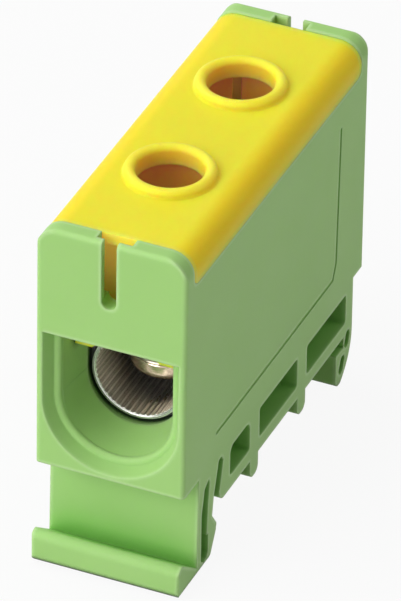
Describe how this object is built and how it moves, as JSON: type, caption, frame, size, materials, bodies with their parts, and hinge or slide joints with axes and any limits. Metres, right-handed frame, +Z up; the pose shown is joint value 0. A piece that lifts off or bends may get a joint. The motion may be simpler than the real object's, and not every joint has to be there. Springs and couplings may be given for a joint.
{
  "type": "panel terminal block",
  "caption": "Rail-mounted feed-through terminal block: moulded housing with a spring foot, bored metal body, clamp screws and a clip-on cover with key holes.",
  "frame": {"origin": "middle of the bounding box, at the foot's lowest face", "axes": "+Y along the conductor from the front entry to the rear, +X across the block and along the rail, +Z up"},
  "size_m": [0.017, 0.0492, 0.043],
  "materials": {
    "housing_green": "satin moulded polyamide",
    "cover_yellow": "satin moulded polyamide",
    "tinned_metal": "tin-plated, serrated bore",
    "screw_steel": "zinc-plated",
    "pad_steel": "bright zinc-plated"
  },
  "bodies": {
    "root": {"housing": "housing_green", "cover": "cover_yellow", "terminal_body": "tinned_metal"},
    "front_pad": {"front_pressure_pad": "pad_steel"},
    "front_screw": {"front_screw": "screw_steel"},
    "rear_pad": {"rear_pressure_pad": "pad_steel"},
    "rear_screw": {"rear_screw": "screw_steel"}
  },
  "joints": [
    {"name": "front_feed", "type": "slide", "parent": "root", "child": "front_pad", "axis": [0, 0, 1], "range_m": [-0.00016, 0.00751]},
    {"name": "front_turn", "type": "hinge", "parent": "front_pad", "child": "front_screw", "pos_m": [0, -0.0087, 0.0205], "axis": [0, 0, 1], "range_deg": [-36, 1800]},
    {"name": "rear_feed", "type": "slide", "parent": "root", "child": "rear_pad", "axis": [0, 0, 1], "range_m": [-0.00016, 0.00751]},
    {"name": "rear_turn", "type": "hinge", "parent": "rear_pad", "child": "rear_screw", "pos_m": [0, 0.0097, 0.0205], "axis": [0, 0, 1], "range_deg": [-36, 1800]}
  ],
  "couplings": [
    {"joint": "front_feed", "follows": "front_turn", "m_per_rad": 0.00023873},
    {"joint": "rear_feed", "follows": "rear_turn", "m_per_rad": 0.00023873}
  ]
}
